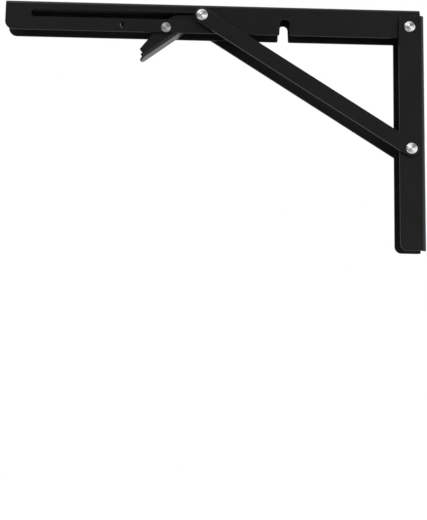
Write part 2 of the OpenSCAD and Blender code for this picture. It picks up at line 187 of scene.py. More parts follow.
# darker than the coat: painted shade on the cut edges, most of all in the holes
SHADED_CUT_GREY = 0.005
BRIGHT_GREYS = (0.78, 0.92)
DULL_GREYS = (0.38, 0.54)
PATCH_SCALE = 520             # dull patches of the rivets
WANDER_SCALE = 900
ZINC_SCALE = 260
ZINC_TINTS = ((0.42, 0.43, 0.45), (0.62, 0.62, 0.6))
OIL_SCALE = 700
WIRE_TINTS = ((0.24, 0.24, 0.25), (0.5, 0.5, 0.5))

# Studio
FLOOR_AT = (-0.15, 0, -0.3)
FLOOR_R = 0.55
FLOOR_SIDES = 96
FLOOR_SCALE = 3
FLOOR_GREYS = (0.58, 0.62)
FLOOR_GLOW = 0.46             # makes the unshaded floor white to the camera
ROOM_LEVEL = 0.18             # the room behind the camera
BACKDROP_EDGE = (0.0, 0.3)    # how far round the white backdrop reaches
# Soft boxes: direction, angles in degrees where they are full and where they end, level
SOFT_BOXES = (
    ((-0.38, -0.485, 0.788), 16, 28, 2.2),
    ((0.68, -0.72, -0.1), 18, 26, 2.2),
    ((0.95, -0.3, 0.1), 16, 30, 1.3),
    ((-0.6, -0.6, -0.52), 14, 26, 1.4),
    ((0.0, -0.1, 1.0), 20, 40, 1.0),
)


class Link:
    """A node's output in Python expressions: each operation on it adds one Math node."""

    def __init__(self, graph, socket):
        self.graph = graph
        self.socket = socket

    def math(self, operation, *values):
        inputs = dict(enumerate(values))
        return self.graph.node("ShaderNodeMath", {"operation": operation}, inputs)["Value"]

    def __add__(self, other):
        return self.math("ADD", self, other)

    def __radd__(self, other):
        return self.math("ADD", other, self)

    def __sub__(self, other):
        return self.math("SUBTRACT", self, other)

    def __rsub__(self, other):
        return self.math("SUBTRACT", other, self)

    def __mul__(self, other):
        return self.math("MULTIPLY", self, other)

    def __rmul__(self, other):
        return self.math("MULTIPLY", other, self)

    def __truediv__(self, other):
        return self.math("DIVIDE", self, other)

    def __rtruediv__(self, other):
        return self.math("DIVIDE", other, self)

    def __pow__(self, other):
        return self.math("POWER", self, other)


class Made:
    """A new node, whose outputs are taken by name."""

    def __init__(self, graph, node):
        self.graph = graph
        self.node = node

    def __getitem__(self, name):
        return Link(self.graph, self.node.outputs[name])


class Graph:
    """A node tree that is built by calls to node()."""

    def __init__(self, tree):
        self.tree = tree

    def node(self, kind, settings=None, inputs=None):
        """Adds a node: first its settings, then its sockets' values, links or list of links."""
        made = self.tree.nodes.new(kind)
        for name, value in (settings or {}).items():
            setattr(made, name, value)
        for name, given in (inputs or {}).items():
            for value in given if isinstance(given, list) else [given]:
                if isinstance(value, Link):
                    self.tree.links.new(value.socket, made.inputs[name])
                else:
                    made.inputs[name].default_value = value
        return Made(self, made)

    def blend(self, share, low, high):
        """Colour between low and high."""
        mixed = self.node("ShaderNodeMix", {"data_type": "RGBA"}, {"Factor": share})
        for name, value in (("A", low), ("B", high)):
            socket = next(s for s in mixed.node.inputs if s.name == name and s.type == "RGBA")
            if isinstance(value, Link):
                self.tree.links.new(value.socket, socket)
            else:
                socket.default_value = (*value, 1)
        output = next(s for s in mixed.node.outputs if s.type == "RGBA")
        return Link(self, output)

    def noise(self, place, scale, detail=2.0, roughness=0.5):
        return self.node(
            "ShaderNodeTexNoise",
            inputs={"Vector": place, "Scale": scale, "Detail": detail, "Roughness": roughness},
        )["Fac"]

    def between(self, value, low, high):
        """0 below low and 1 above high, smooth between them."""
        return self.node(
            "ShaderNodeMapRange",
            {"interpolation_type": "SMOOTHSTEP"},
            {"Value": value, "From Min": low, "From Max": high},
        )["Result"]


def grey(level):
    return (level, level, level)


def new_material(name):
    """An empty node material, its graph and its Object coordinates."""
    material = bpy.data.materials.new(name)
    material.use_nodes = True
    material.node_tree.nodes.clear()
    graph = Graph(material.node_tree)
    return material, graph, graph.node("ShaderNodeTexCoord")["Object"]


def finish_material(graph, **inputs):
    """Principled shader with these sockets, joined to the material's output."""
    named = {name.replace("_", " "): value for name, value in inputs.items()}
    shader = graph.node("ShaderNodeBsdfPrincipled", inputs=named)
    graph.node("ShaderNodeOutputMaterial", inputs={"Surface": shader["BSDF"]})


def powder_coat():
    """Matt black coat: a fine orange peel, faint clouds, a few pale specks, and dull cut edges
    darkened with painted shade.
    """
    material, graph, place = new_material("powder_coat")
    peel = graph.noise(place, PEEL_SCALE, detail=3, roughness=0.6)
    clouds = graph.noise(place, CLOUD_SCALE, detail=4)
    specks = graph.between(graph.noise(place, SPECK_SCALE, detail=1), *SPECK_NOISE)
    colour = graph.blend(clouds, *map(grey, COAT_GREYS))
    colour = graph.blend(specks * SPECK_SHARE, colour, grey(SPECK_GREY))
    bump = graph.node(
        "ShaderNodeBump",
        inputs={"Strength": PEEL_BUMP, "Distance": PEEL_DEPTH, "Height": peel},
    )
    face = graph.node("ShaderNodeBsdfPrincipled", inputs={
        "Base Color": colour,
        "Roughness": 0.26 + 0.08 * clouds + 0.06 * peel,
        "IOR": 1.4,
        "Normal": bump["Normal"],
    })
    # Cut edges: a dull coat with little gloss, darker than the faces; the darker colour is painted
    # shade
    edge = graph.node("ShaderNodeBsdfPrincipled", inputs={
        "Base Color": (*grey(SHADED_CUT_GREY), 1),
        "Roughness": 0.8,
        "Specular IOR Level": 0.05,
    })
    dull_shaded_edge = graph.node("ShaderNodeAttribute", {"attribute_name": "dull_shaded_edge"})["Fac"]
    both = graph.node(
        "ShaderNodeMixShader", inputs={0: dull_shaded_edge, 1: face["BSDF"], 2: edge["BSDF"]})
    graph.node("ShaderNodeOutputMaterial", inputs={"Surface": both["Shader"]})
    return material


def rivet_steel(name, greys, rough):
    """Pressed steel between two greys: rings from the riveting tool, and dull patches."""
    material, graph, place = new_material(name)
    patches = graph.noise(place, PATCH_SCALE, detail=3)
    from_axis = graph.node("ShaderNodeAttribute", {"attribute_name": "from_axis"})["Fac"]
    wander = graph.noise(place, WANDER_SCALE, detail=2)
    turns = (from_axis / RING_PITCH + wander * RING_WANDER) * math.tau
    bump = graph.node(
        "ShaderNodeBump",
        inputs={"Strength": 1.0, "Distance": RING_DEPTH, "Height": turns.math("SINE", turns)},
    )
    finish_material(
        graph,
        Base_Color=graph.blend(patches, *map(grey, greys)),
        Metallic=1.0,
        Roughness=rough + 0.12 * patches,
        Normal=bump["Normal"],
    )
    return material


def zinc_plate():
    """Zinc plate with cloudy dull patches."""
    material, graph, place = new_material("zinc_plate")
    clouds = graph.noise(place, ZINC_SCALE, detail=4)
    finish_material(
        graph,
        Base_Color=graph.blend(clouds, *ZINC_TINTS),
        Metallic=1.0,
        Roughness=0.3 + 0.2 * clouds,
    )
    return material


def spring_steel():
    """Drawn wire, darker where it is oiled."""
    material, graph, place = new_material("spring_steel")
    oil = graph.noise(place, OIL_SCALE, detail=3)
    finish_material(
        graph,
        Base_Color=graph.blend(oil, *WIRE_TINTS),
        Metallic=1.0,
        Roughness=0.24 + 0.2 * oil,
    )
    return material


coat = powder_coat()
bright = rivet_steel("bright_steel", BRIGHT_GREYS, 0.18)
dull = rivet_steel("dull_steel", DULL_GREYS, 0.28)
zinc = zinc_plate()
wire_steel = spring_steel()


# Flat outlines: the sheet lies on the left of each loop

def arc(x, y, r, start, end):
    """Points on a circle from one angle to the other, in radians."""
    steps = max(2, math.ceil(abs(end - start) / ARC_STEP))
    angles = [start + (end - start) * i / steps for i in range(steps + 1)]
    return [(x + r * math.cos(a), y + r * math.sin(a)) for a in angles]


def rounded(corners):
    """Points of an open or closed path whose corners (x, y, r) are rounded by r."""
    points = []
    for i, (x, y, r) in enumerate(corners):
        here = Vector((x, y))
        if not r:
            points.append((x, y))
            continue
        back = (Vector(corners[i - 1][:2]) - here).normalized()
        ahead = (Vector(corners[(i + 1) % len(corners)][:2]) - here).normalized()
        half = back.angle(ahead) / 2
        centre = here + (back + ahead).normalized() * (r / math.sin(half))
        first = here + back * (r / math.tan(half)) - centre
        last = here + ahead * (r / math.tan(half)) - centre
        start = math.atan2(first.y, first.x)
        turn = math.remainder(math.atan2(last.y, last.x) - start, math.tau)
        points += arc(centre.x, centre.y, r, start, start + turn)
    return points


def hole(x, y, r):
    """Round hole, with the sheet on its left."""
    return arc(x, y, r, math.tau, 0)[:-1]


def slot(x_low, x_high, y, r):
    """Long hole with round ends, with the sheet on its left."""
    right = arc(x_high, y, r, math.pi / 2, -math.pi / 2)
    left = arc(x_low, y, r, -math.pi / 2, -math.pi * 3 / 2)
    return right + left


def anticlockwise(loop):
    """The same outer loop, with the sheet on its left."""
    area = sum(a[0] * b[1] - b[0] * a[1] for a, b in zip(loop, loop[1:] + loop[:1]))
    return loop if area > 0 else loop[::-1]


def thin_out(loop):
    """Drops points that lie on the one before."""
    return [
        point for i, point in enumerate(loop)
        if (Vector(point) - Vector(loop[i - 1])).length > SAME_PLACE
    ]


def moved_in(loop, distance):
    """The loop moved into the sheet, with its outward directions."""
    points = []
    for i, point in enumerate(loop):
        before = (Vector(point) - Vector(loop[i - 1])).normalized()
        after = (Vector(loop[(i + 1) % len(loop)]) - Vector(point)).normalized()
        in_before = Vector((-before.y, before.x))
        in_after = Vector((-after.y, after.x))
        inwards = (in_before + in_after) / (1 + in_before.dot(in_after))
        points.append((Vector(point) + inwards * distance, -inwards.normalized()))
    return points


def sheet_blank(outline, holes, thickness, outer_edge):
    """Flat blank with rounded edges: x and y in the sheet's plane, z through it."""
    bm = bmesh.new()
    facing = bm.verts.layers.float_vector.new("facing")
    dull_shaded_edge = bm.verts.layers.float.new("dull_shaded_edge")
    rings = []
    for side in (-1, 1):
        angles = [side * math.pi / 2 * i / EDGE_STEPS for i in range(EDGE_STEPS + 1)]
        rings += angles[::-1] if side < 0 else angles
    caps = {rings[0]: [], rings[-1]: []}
    for loop, (r, dull_and_shade) in [(outline, outer_edge)] + [(loop, HOLE_CUT) for loop in holes]:
        made = []
        for a in rings:
            side = math.copysign(1, a)
            height = side * (thickness / 2 - r) + r * math.sin(a)
            ring = []
            for point, outwards in moved_in(thin_out(loop), r * (1 - math.cos(a))):
                vert = bm.verts.new((point.x, point.y, height))
                flat = outwards * math.cos(a)
                vert[facing] = (flat.x, flat.y, math.sin(a))
                # dull and darker towards the middle of the rounded edge: partly the real dull cut,
                # partly painted shade
                vert[dull_shaded_edge] = dull_and_shade * math.cos(a)
                ring.append(vert)
            made.append(ring)
            if a in caps:
                pairs = zip(ring, ring[1:] + ring[:1])
                caps[a] += [bm.edges.new(pair) for pair in pairs]
        for low, high in zip(made, made[1:]):
            for i in range(len(low)):
                j = (i + 1) % len(low)
                bm.faces.new((low[i], low[j], high[j], high[i]))
    for edges in caps.values():
        bmesh.ops.triangle_fill(bm, edges=edges, use_beauty=True)
    return bm


class Channel:
    """A sheet folded to a channel: where points of its flat blank go."""

    def __init__(self, width, thickness, inner_r):
        self.thickness = thickness
        self.outer_r = inner_r + thickness
        self.middle_r = inner_r + thickness / 2
        self.web = width / 2 - self.outer_r
        self.bend = self.middle_r * math.pi / 2

    def blank(self, depth):
        """Distance from the blank's middle line of a wall point at this depth."""
        return self.web + self.bend + depth - self.outer_r

    def wall_pair(self, wall):
        """Closed outline of the blank from one wall's outline of (along, depth) points."""
        near = [(x, self.blank(depth)) for x, depth in wall]
        far = [(x, -s) for x, s in reversed(near)]
        return anticlockwise(near + far)

    def both_walls(self, make, x, depth, *sizes):
        """A hole in each wall."""
        return [make(x, side * self.blank(depth), *sizes) for side in (-1, 1)]

    def place(self, s, w, facing):
        """Across, depth and both directions of a blank's point, w outwards of its middle."""
        side = math.copysign(1, s)
        past = abs(s) - self.web
        turn = min(max(past / self.middle_r, 0), math.pi / 2)
        sin, cos = math.sin(turn), math.cos(turn)
        beyond = max(past - self.bend, 0)
        across = self.web + min(past, 0) + (self.middle_r + w) * sin
        depth = self.outer_r + beyond - (self.middle_r + w) * cos
        along_sheet = facing.y * side
        facing_across = along_sheet * cos + facing.z * sin
        facing_depth = along_sheet * sin - facing.z * cos
        return side * across, depth, side * facing_across, facing_depth

    def fold(self, bm):
        """Cuts lines across the bends of a blank, then folds it."""
        facing = bm.verts.layers.float_vector["facing"]
        for side in (-1, 1):
            for i in range(BEND_STEPS + 1):
                at = side * (self.web + self.bend * i / BEND_STEPS)
                everything = bm.verts[:] + bm.edges[:] + bm.faces[:]
                bmesh.ops.bisect_plane(
                    bm, geom=everything, dist=ON_LINE, plane_co=(0, at, 0), plane_no=(0, 1, 0))
        for vert in bm.verts:
            x, s, w = vert.co
            across, depth, facing_across, facing_depth = self.place(s, w, vert[facing])
            vert.co = (x, across, depth)
            vert[facing] = (vert[facing].x, facing_across, facing_depth)


def in_scene(name, data):
    """A new object with these data, linked to the scene."""
    made = bpy.data.objects.new(name, data)
    bpy.context.scene.collection.objects.link(made)
    return made


def turn_outwards(bm):
    bm.normal_update()
    bmesh.ops.recalc_face_normals(bm, faces=bm.faces)


def coated_mesh(name, bm):
    """A smooth mesh in powder coat from a bmesh, which is freed."""
    for face in bm.faces:
        face.smooth = True
    mesh = bpy.data.meshes.new(name)
    bm.to_mesh(mesh)
    bm.free()
    mesh.materials.append(coat)
    return mesh


def sheet_piece(name, bm, matrix):
    """An object from a folded or flat blank, put in place by a matrix."""
    facing = bm.verts.layers.float_vector["facing"]
    bm.transform(matrix)
    turn = matrix.to_3x3()
    normals = [(turn @ vert[facing]).normalized() for vert in bm.verts]
    turn_outwards(bm)
    mesh = coated_mesh(name, bm)
    mesh.normals_split_custom_set_from_vertices(normals)
    return in_scene(name, mesh)


def axes(x_to, y_to, z_to, at):
    """Matrix that sends the three axes to these directions, and the origin to a point."""
    matrix = Matrix((x_to, y_to, z_to)).transposed().to_4x4()
    matrix.translation = at
    return matrix


def leg_blank(channel):
    """Along is up the leg, from its foot, and depth is out from the wall."""
    depth = leg_high.x - leg_low.x
    length = leg_high.z - leg_low.z
    wall = rounded([(0, 0, 0), (0, depth, LEG_FOOT_R), (length, depth, LEG_TOP_R), (length, 0, 0)])
    outline = channel.wall_pair(wall)
    holes = []
    for pivot, (shank_r, _) in ((arm_pivot, ARM_RIVET), (foot_pivot, FOOT_RIVET)):
        holes += channel.both_walls(hole, pivot.z - leg_low.z, -pivot.x, shank_r)
    for i in (-1, 0, 1):
        holes.append(hole(i * LEG_SCREW_PITCH - leg_low.z, 0, SCREW_R))
    return cut_foot(outline, catch_room_end() - leg_low.z), holes


def catch_room_end():
    """Upper end of the cut-out that the folded lever's catch needs in the leg's web."""
    catch_r = (slide_at - lever_pivot).length - CATCH_GAP
    folded = arm_pivot.z - (arm_pivot.x - lever_pivot.x)
    return folded + catch_r + CATCH_ROOM_GAP


def cut_foot(outline, end):
    """The leg's outline with a cut-out in its web, open at the foot."""
    half = CATCH_ROOM_W / 2
    room = rounded([
        (0, half, 0),
        (end, half, CATCH_ROOM_R),
        (end, -half, CATCH_ROOM_R),
        (0, -half, 0),
    ])
    at_foot = [i for i, (x, _) in enumerate(outline) if abs(x) < SAME_PLACE]
    above = min((i for i in at_foot if outline[i][1] > 0), key=lambda i: outline[i][1])
    turned = outline[above + 1:] + outline[:above + 1]
    return turned + room


def arm_outline(channel):
    """Along is X, from the arm's tip to its end at the wall, and depth is down from its top."""
    top = arm_high.z
    pivot_depth = top - arm_pivot.z
    free = arm_high.z - arm_low.z
    back = arm_high.x
    turn_r = back - arm_pivot.x
    low = free - pivot_depth
    notch_at = arm_pivot.x - (arm_pivot.z - foot_pivot.z)
    notch_r = NOTCH_W / 2
    notch_top = pivot_depth - NOTCH_RISE + notch_r
    last_turn = math.asin(low / turn_r)
    wall = [(back, 0)]
    wall += arc(arm_pivot.x, pivot_depth, turn_r, 0, last_turn)
    for side in (1, -1):
        mouth = notch_at + side * NOTCH_MOUTH_W / 2
        corner = rounded([
            (mouth + side * NOTCH_SIDE, free, 0),
            (mouth, free, NOTCH_MOUTH_R),
            (notch_at + side * notch_r, notch_top, 0),
        ])[1:-1]
        if side > 0:
            wall += corner + arc(notch_at, notch_top, notch_r, 0, -math.pi)
        else:
            wall += corner[::-1]
    tip = rounded([(back, free, 0), (arm_low.x, free, ARM_TIP_R), (arm_low.x, 0, 0)])
    wall += tip[1:]
    holes = channel.both_walls(hole, arm_pivot.x, pivot_depth, ARM_RIVET[0])
    holes += channel.both_walls(hole, lever_pivot.x, top - lever_pivot.z, LEVER_RIVET[0])
    holes.append(hook_opening(channel))
    slot_end = slide_at.x - joints["pin_slide"]["range_m"][1] - SLOT_SPARE
    for side in (-1, 1):
        s = side * channel.blank(top - slide_at.z)
        holes.append(slot(slot_end, slide_at.x, s, SLOT_W / 2))
    for i in range(ARM_SCREWS):
        holes.append(hole(arm_pivot.x - ARM_SCREW_START - i * ARM_SCREW_PITCH, 0, SCREW_R))
    return channel.wall_pair(wall), holes


def hook_opening(channel):
    """Opening in the left wall for the spring's hook, with a round lower end."""
    half = HOOK_SLOT_W / 2
    x = lever_pivot.x - HOOK_REACH
    top = -channel.blank(arm_high.z - lever_pivot.z - HOOK_SLOT_TOP)
    low = -channel.blank(arm_high.z - lever_pivot.z - HOOK_SLOT_LOW) + half
    return [(x - half, top), (x + half, top)] + arc(x, low, half, 0, -math.pi)


def hook_lug():
    """Lug above the spring's hook, pressed inwards out of the arm's left wall."""
    lean = math.tan(LUG_ANGLE)
    depth = LUG_T / math.cos(LUG_ANGLE)
    tip = LUG_START + (HOOK_SLOT_TOP - LUG_LOW) * lean
    root = LUG_START - LUG_ROOT * lean
    high = HOOK_SLOT_TOP + LUG_ROOT
    profile = [(tip, LUG_LOW), (tip + depth, LUG_LOW), (root + depth, high), (root, high)]
    half = HOOK_SLOT_W / 2 - LUG_SIDE_GAP
    at = lever_pivot + Vector((-HOOK_REACH, arm_low.y, 0))
    bm = bmesh.new()
    sides = [[bm.verts.new(at + Vector((x, y, z))) for y, z in profile] for x in (-half, half)]
    bm.faces.new(sides[0])
    bm.faces.new(sides[1][::-1])
    for i in range(4):
        j = (i + 1) % 4
        bm.faces.new((sides[0][i], sides[1][i], sides[1][j], sides[0][j]))
    turn_outwards(bm)
    bmesh.ops.bevel(bm, geom=bm.edges[:], offset=HOLE_CUT[0], segments=EDGE_STEPS, affect="EDGES")
    piece = in_scene("pressed_lug", coated_mesh("pressed_lug", bm))
    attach(piece, "arm")


def lever_outline(channel):
    """Along is the lever's back, from its pivot towards the catch, and depth is from the back."""
    pin = slide_at - lever_pivot
    catch_r = pin.length - CATCH_GAP
    catch_top = pin.z + CATCH_RISE

    def levelled(x, z):
        """A level point about the pivot, in the lever's own frame."""
        sin, cos = math.sin(LEVER_ANGLE), math.cos(LEVER_ANGLE)
        return x * cos + z * sin, z * cos - x * sin + LEVER_BACK

    level_corner = (math.sqrt(catch_r ** 2 - catch_top ** 2), catch_top)
    # Where the sloping upper edge meets the catch's level top
    peak_x = LEVER_PEAK * math.cos(LEVER_ANGLE) - LEVER_RISE * math.sin(LEVER_ANGLE)
    peak_z = LEVER_PEAK * math.sin(LEVER_ANGLE) + LEVER_RISE * math.cos(LEVER_ANGLE)
    meet = peak_x + (catch_top - peak_z) / math.tan(CATCH_SLOPE)
    nose = levelled(*level_corner)
    first = math.atan2(nose[1] - LEVER_BACK, nose[0])
    last = -math.asin((LEVER_BACK - BACK_CUT) / catch_r)
    depth_top = LEVER_BACK + LEVER_RISE
    wall = [(BACK_END, BACK_CUT)]
    wall += arc(0, LEVER_BACK, catch_r, last, first)
    wall += [
        levelled(meet, catch_top),
        (LEVER_PEAK, depth_top),
        (-HANDLE_LEN, depth_top - HANDLE_TAPER),
        (-HANDLE_LEN, LEVER_SHEET),
    ]
    outline = channel.wall_pair(wall)
    tongue = channel.web + channel.bend / 2
    arc_r = (tongue ** 2 + TONGUE_LEN ** 2) / (2 * TONGUE_LEN)
    half = math.asin(tongue / arc_r)
    tip = arc(arc_r - HANDLE_LEN - TONGUE_LEN, 0, arc_r, math.pi - half, math.pi + half)
    past = next(i for i, (x, s) in enumerate(outline) if x == -HANDLE_LEN and s < 0)
    outline = outline[:past] + tip + outline[past:]
    holes = channel.both_walls(hole, 0, LEVER_BACK, LEVER_RIVET[0])
    return outline, holes


def folded_piece(name, channel, shape, edge, matrix):
    """A channel from the outline and holes of its blank."""
    outline, holes = shape
    bm = sheet_blank(outline, holes, channel.thickness, edge)
    channel.fold(bm)
    return sheet_piece(name, bm, matrix)


def stand_for(piece, node, body):
    """The piece stands for a node, and moves with its body."""
    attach(piece, body)
    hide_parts(node)


leg_channel = Channel(leg_high.y - leg_low.y, SHEET, BEND_R)
leg = folded_piece(
    "coated_leg", leg_channel, leg_blank(leg_channel), LEG_CUT,
    axes((0, 0, 1), (0, 1, 0), (-1, 0, 0), (0, 0, leg_low.z)))
stand_for(leg, "wall_leg", "leg")

arm_channel = Channel(arm_high.y - arm_low.y, SHEET, BEND_R)
arm = folded_piece(
    "coated_arm", arm_channel, arm_outline(arm_channel), ARM_CUT,
    axes((1, 0, 0), (0, 1, 0), (0, 0, -1), (0, 0, arm_high.z)))
stand_for(arm, "shelf_arm", "arm")
hook_lug()

lever_channel = Channel(lever_high.y - lever_low.y, LEVER_SHEET, LEVER_BEND_R)
along_back = Vector((math.cos(LEVER_ANGLE), 0, math.sin(LEVER_ANGLE)))
off_back = Vector((-math.sin(LEVER_ANGLE), 0, math.cos(LEVER_ANGLE)))
lever = folded_piece(
    "coated_lever", lever_channel, lever_outline(lever_channel), LEVER_CUT,
    axes(along_back, (0, 1, 0), off_back, lever_pivot - off_back * LEVER_BACK))
stand_for(lever, "release_lever", "lever")


def brace_bar(name, node, side):
    """Flat bar from the foot rivet to the slide pin."""
    along = (slide_at - foot_pivot).normalized()
    length = (slide_at - foot_pivot).length
    half = BAR_W / 2
    outline = arc(0, 0, half, math.pi / 2, math.pi * 3 / 2)
    outline += arc(length, 0, half, -math.pi / 2, math.pi / 2)
    holes = [hole(0, 0, FOOT_RIVET[0]), hole(length, 0, SLIDE_RIVET[0])]
    bm = sheet_blank(outline, holes, bar_high.y - bar_low.y, BAR_CUT)
    middle = Vector((0, side * (bar_low.y + bar_high.y) / 2, 0))
    matrix = axes(along, Vector((0, 1, 0)).cross(along), (0, 1, 0), foot_pivot + middle)
    stand_for(sheet_piece(name, bm, matrix), node, "brace")


brace_bar("coated_bar_left", "brace_left", -1)
brace_bar("coated_bar_right", "brace_right", 1)


def new_tree(name, sizes):
    """Geometry node tree with an input for the geometry and for each named size."""
    tree = bpy.data.node_groups.new(name, "GeometryNodeTree")
    tree.interface.new_socket("Geometry", in_out="INPUT", socket_type="NodeSocketGeometry")
    kinds = {"Heads": "NodeSocketInt", "Steel": "NodeSocketMaterial"}
    for size in sizes:
        kind = kinds.get(size, "NodeSocketFloat")
        tree.interface.new_socket(size, in_out="INPUT", socket_type=kind)
    tree.interface.new_socket("Geometry", in_out="OUTPUT", socket_type="NodeSocketGeometry")
    graph = Graph(tree)
    return graph, graph.node("NodeGroupInput")


def rivet_tree():
    """Rivet along Z: a shank between one or two heads with a crowned face."""
    sizes = ("Head radius", "Head height", "Shank radius", "Half grip", "Heads", "Steel")
    graph, given = new_tree("rivet", sizes)
    radius, height = given["Head radius"], given["Head height"]
    shoulder = height * SHOULDER
    rim = shoulder * RIM
    round_r = shoulder * ROUND
    face_r = radius - round_r * math.cos(ROUND_START)

    def profile(r, z):
        """Point of the head's profile, measured from its rim as the turned ring needs it."""
        return graph.node("ShaderNodeCombineXYZ", inputs={"X": r - radius, "Y": z * -1})["Vector"]

    def line(start, end):
        return graph.node(
            "GeometryNodeCurvePrimitiveLine", inputs={"Start": start, "End": end})["Curve"]

    edge = graph.node("GeometryNodeCurveArc", inputs={
        "Resolution": ROUND_STEPS, "Radius": round_r,
        "Start Angle": -ROUND_START, "Sweep Angle": ROUND_START - math.pi / 2})["Curve"]
    edge = graph.node("GeometryNodeTransform", inputs={
        "Geometry": edge, "Translation": profile(face_r, shoulder - round_r)})["Geometry"]
    crown = graph.node("GeometryNodeCurveQuadraticBezier", inputs={
        "Resolution": CROWN_STEPS, "Start": profile(face_r, shoulder),
        "Middle": profile(face_r / 2, height), "End": profile(0, height)})["Curve"]
    parts = [
        line(profile(0, 0), profile(radius, 0)),
        line(profile(radius, 0), profile(radius, rim)),
        edge,
        crown,
    ]
    turned = graph.node("GeometryNodeCurvePrimitiveCircle", inputs={
        "Resolution": HEAD_SIDES, "Radius": radius})["Curve"]
    outline = graph.node("GeometryNodeJoinGeometry", inputs={"Geometry": parts})["Geometry"]
    head = graph.node("GeometryNodeCurveToMesh", inputs={
        "Curve": turned, "Profile Curve": outline})["Mesh"]
    head = graph.node("GeometryNodeMergeByDistance", inputs={
        "Geometry": head, "Distance": SAME_PLACE})["Geometry"]
    position = graph.node("GeometryNodeInputPosition")["Position"]
    point = graph.node("ShaderNodeSeparateXYZ", inputs={"Vector": position})
    from_axis = (point["X"] ** 2 + point["Y"] ** 2) ** 0.5
    head = graph.node("GeometryNodeStoreNamedAttribute", inputs={
        "Geometry": head, "Name": "from_axis", "Value": from_axis})["Geometry"]
    grip = given["Half grip"]
    top = graph.node("ShaderNodeCombineXYZ", inputs={"Z": grip})["Vector"]
    step = graph.node("ShaderNodeCombineXYZ", inputs={"Z": grip * -2})["Vector"]
    ends = graph.node("GeometryNodeMeshLine", inputs={
        "Count": given["Heads"], "Start Location": top, "Offset": step})["Mesh"]
    half_turns = graph.node("GeometryNodeInputIndex")["Index"] * math.pi
    turn = graph.node("ShaderNodeCombineXYZ", inputs={"X": half_turns})["Vector"]
    turn = graph.node("FunctionNodeEulerToRotation", inputs={"Euler": turn})["Rotation"]
    heads = graph.node("GeometryNodeInstanceOnPoints", inputs={
        "Points": ends, "Instance": head, "Rotation": turn})["Instances"]
    shank = graph.node("GeometryNodeMeshCylinder", inputs={
        "Vertices": SHANK_SIDES, "Radius": given["Shank radius"], "Depth": grip * 2})["Mesh"]
    joined = graph.node("GeometryNodeJoinGeometry", inputs={"Geometry": [heads, shank]})["Geometry"]
    return finish_tree(graph, joined, given["Steel"])


def finish_tree(graph, geometry, material):
    """Ends a tree with real geometry and its material."""
    whole = graph.node("GeometryNodeRealizeInstances", inputs={"Geometry": geometry})["Geometry"]
    done = graph.node("GeometryNodeSetMaterial", inputs={"Geometry": whole, "Material": material})
    graph.node("NodeGroupOutput", inputs={"Geometry": done["Geometry"]})
    return graph.tree


def close_up(mesh):
    """Joins a mesh along its seams, turns its faces outwards and smooths all but sharp edges."""
    bm = bmesh.new()
    bm.from_mesh(mesh)
    bmesh.ops.remove_doubles(bm, verts=bm.verts, dist=SAME_PLACE)
    bmesh.ops.recalc_face_normals(bm, faces=bm.faces)
    for face in bm.faces:
        face.smooth = True
    for edge in bm.edges:
        edge.smooth = edge.calc_face_angle(0) < SHARP
    bm.to_mesh(mesh)
    bm.free()


def grown(name, source, tree, sizes, matrix):
    """Runs a tree on an object with named sizes, and returns the result as a plain mesh."""
    source_object = in_scene(name + "_source", source)
    modifier = source_object.modifiers.new(name, "NODES")
    modifier.node_group = tree
    for item in tree.interface.items_tree:
        if item.item_type == "SOCKET" and item.in_out == "INPUT" and item.name in sizes:
            modifier[item.identifier] = sizes[item.name]
    bpy.context.view_layer.update()
    evaluated = source_object.evaluated_get(bpy.context.evaluated_depsgraph_get())
    mesh = bpy.data.meshes.new_from_object(evaluated)
    mesh.transform(matrix)
    close_up(mesh)
    source_object.modifiers.clear()
    bpy.data.objects.remove(source_object)
    return in_scene(name, mesh)


rivets = rivet_tree()


def rivet(name, node, body, at, sizes, half_grip, middle=0.0, heads=2, side=1, steel=bright):
    """One rivet across the bracket at a pivot, its first head towards side."""
    shank_r, head_r = sizes
    named = {
        "Head radius": head_r,
        "Head height": HEAD_H,
        "Shank radius": shank_r,
        "Half grip": half_grip,
        "Heads": heads,
        "Steel": steel,
    }
    across = Vector((0, side, 0))
    matrix = axes((1, 0, 0), across.cross((1, 0, 0)), across, (at.x, side * middle, at.z))
    piece = grown(name, bpy.data.meshes.new(name), rivets, named, matrix)
    stand_for(piece, node, body)


def under_head(node):
    """Distance from the middle to the plate under a node's heads."""
    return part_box(node)[1].y - HEAD_H


rivet(
    "pressed_arm_rivet", "arm_pivot_rivet", "leg", arm_pivot, ARM_RIVET,
    under_head("arm_pivot_rivet"))
rivet(
    "pressed_foot_rivet", "foot_rivet", "leg", foot_pivot, FOOT_RIVET,
    under_head("foot_rivet"))
rivet(
    "pressed_lever_rivet", "lever_rivet", "arm", lever_pivot, LEVER_RIVET,
    under_head("lever_rivet"), steel=dull)
bar_middle = (bar_low.y + bar_high.y) / 2
for side, word in ((-1, "left"), (1, "right")):
    rivet(
        "pressed_slide_rivet_" + word, "brace_rivet_" + word, "brace", slide_at, SLIDE_RIVET,
        (bar_high.y - bar_low.y) / 2, middle=bar_middle, heads=1, side=side)


